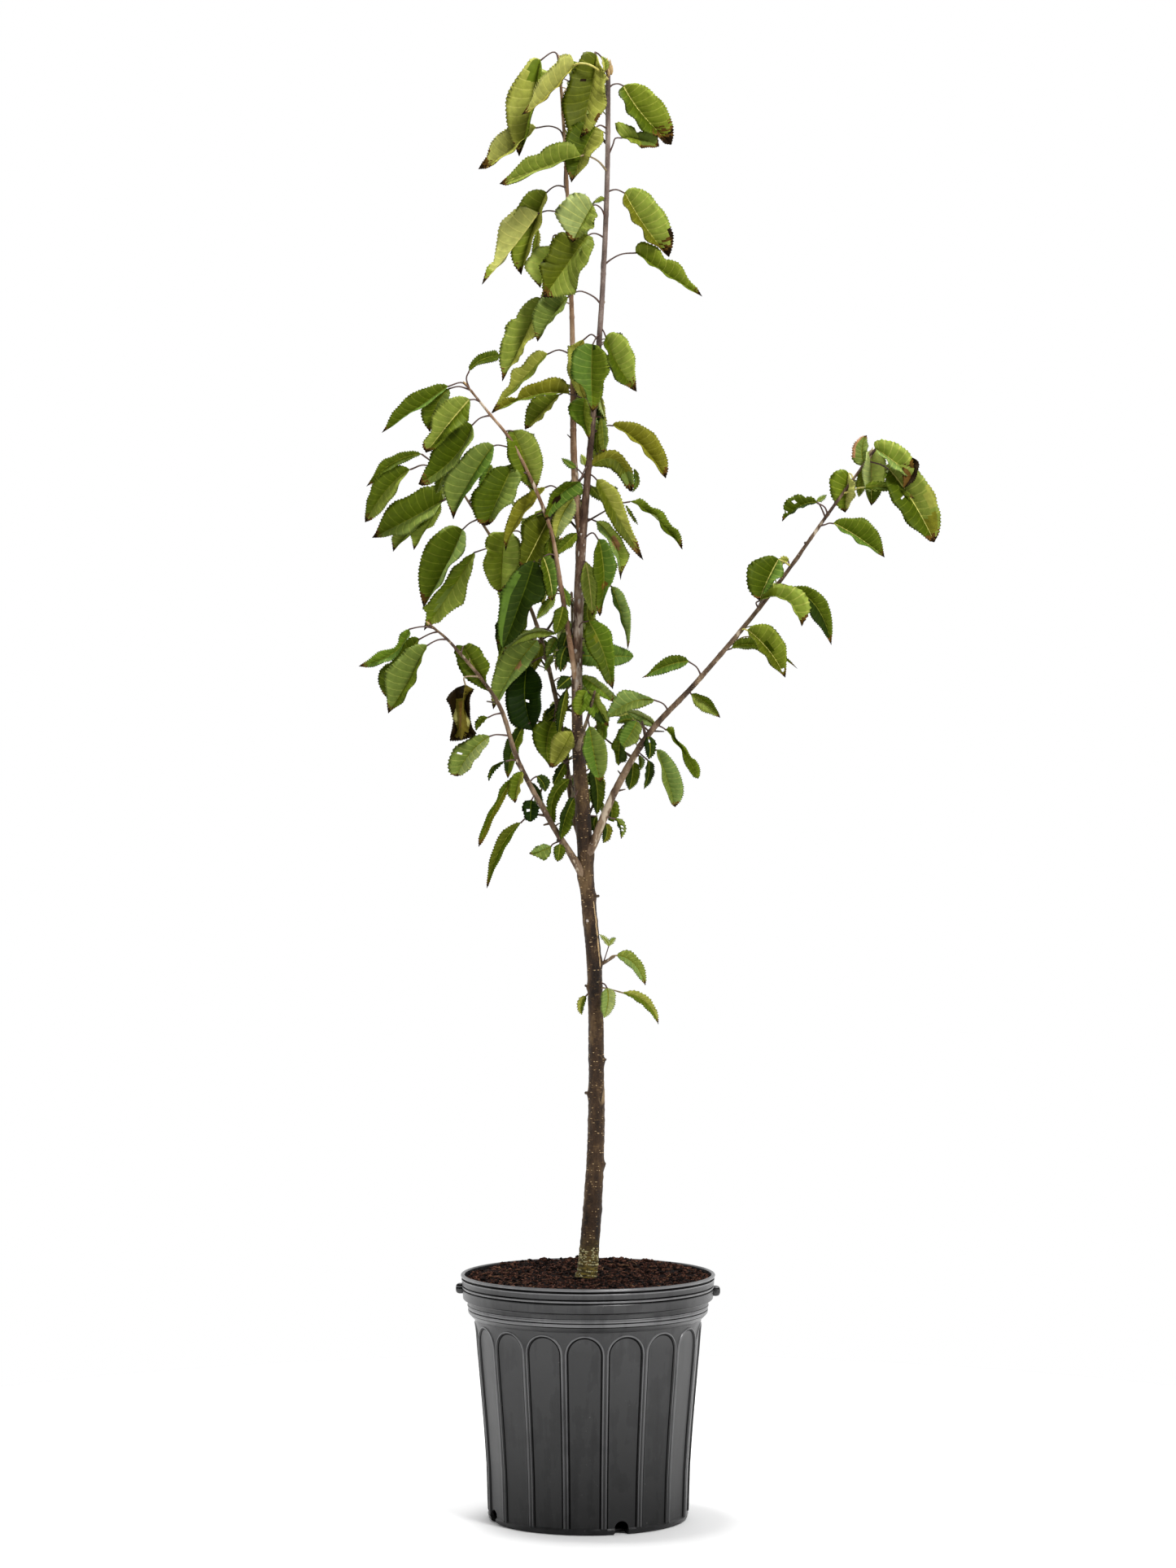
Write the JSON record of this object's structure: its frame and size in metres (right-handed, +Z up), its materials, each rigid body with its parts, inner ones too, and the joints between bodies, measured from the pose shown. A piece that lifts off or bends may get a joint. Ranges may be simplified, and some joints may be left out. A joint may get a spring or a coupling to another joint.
{
  "type": "potted cherry tree",
  "caption": "Young two-leader cherry tree with broad drooping leaves, standing in a round black nursery pot filled with bark mix.",
  "frame": {"origin": "centre of the pot's flat underside", "axes": "+Z up along the trunk, +X to the right in the picture, -Y towards the picture's camera"},
  "size_m": [0.672, 0.3245, 1.735],
  "materials": {
    "pot_plastic": "matte moulded plastic with fine grain, rim worn satin",
    "potting_mix": "moist crumbled bark and peat, rough",
    "bark": "smooth satin bark with raised lenticels",
    "leaf": "soft satin leaf blade with sunk veins"
  },
  "bodies": {
    "root": {"pot": "pot_plastic", "soil": "potting_mix", "trunk": "bark", "leader_left": "bark", "bough_right": "bark", "bough_lower_left": "bark", "bough_mid_left": "bark", "bough_upper_left": "bark", "bough_back": "bark", "bough_front": "bark", "trunk_shoot": "bark", "foliage_top_left": "leaf", "foliage_top_right": "leaf", "foliage_upper_left": "leaf", "foliage_upper_right": "leaf", "foliage_middle_left": "leaf", "foliage_middle_right": "leaf", "foliage_left_high": "leaf", "foliage_left_mid": "leaf", "foliage_core_left": "leaf", "foliage_inner_left": "leaf", "foliage_core_right": "leaf", "foliage_lower_left": "leaf", "foliage_low_left": "leaf", "foliage_low_right": "leaf", "foliage_right_mid": "leaf", "foliage_right_tip": "leaf", "foliage_back": "leaf", "foliage_front": "leaf", "foliage_shoot": "leaf"}
  },
  "joints": []
}
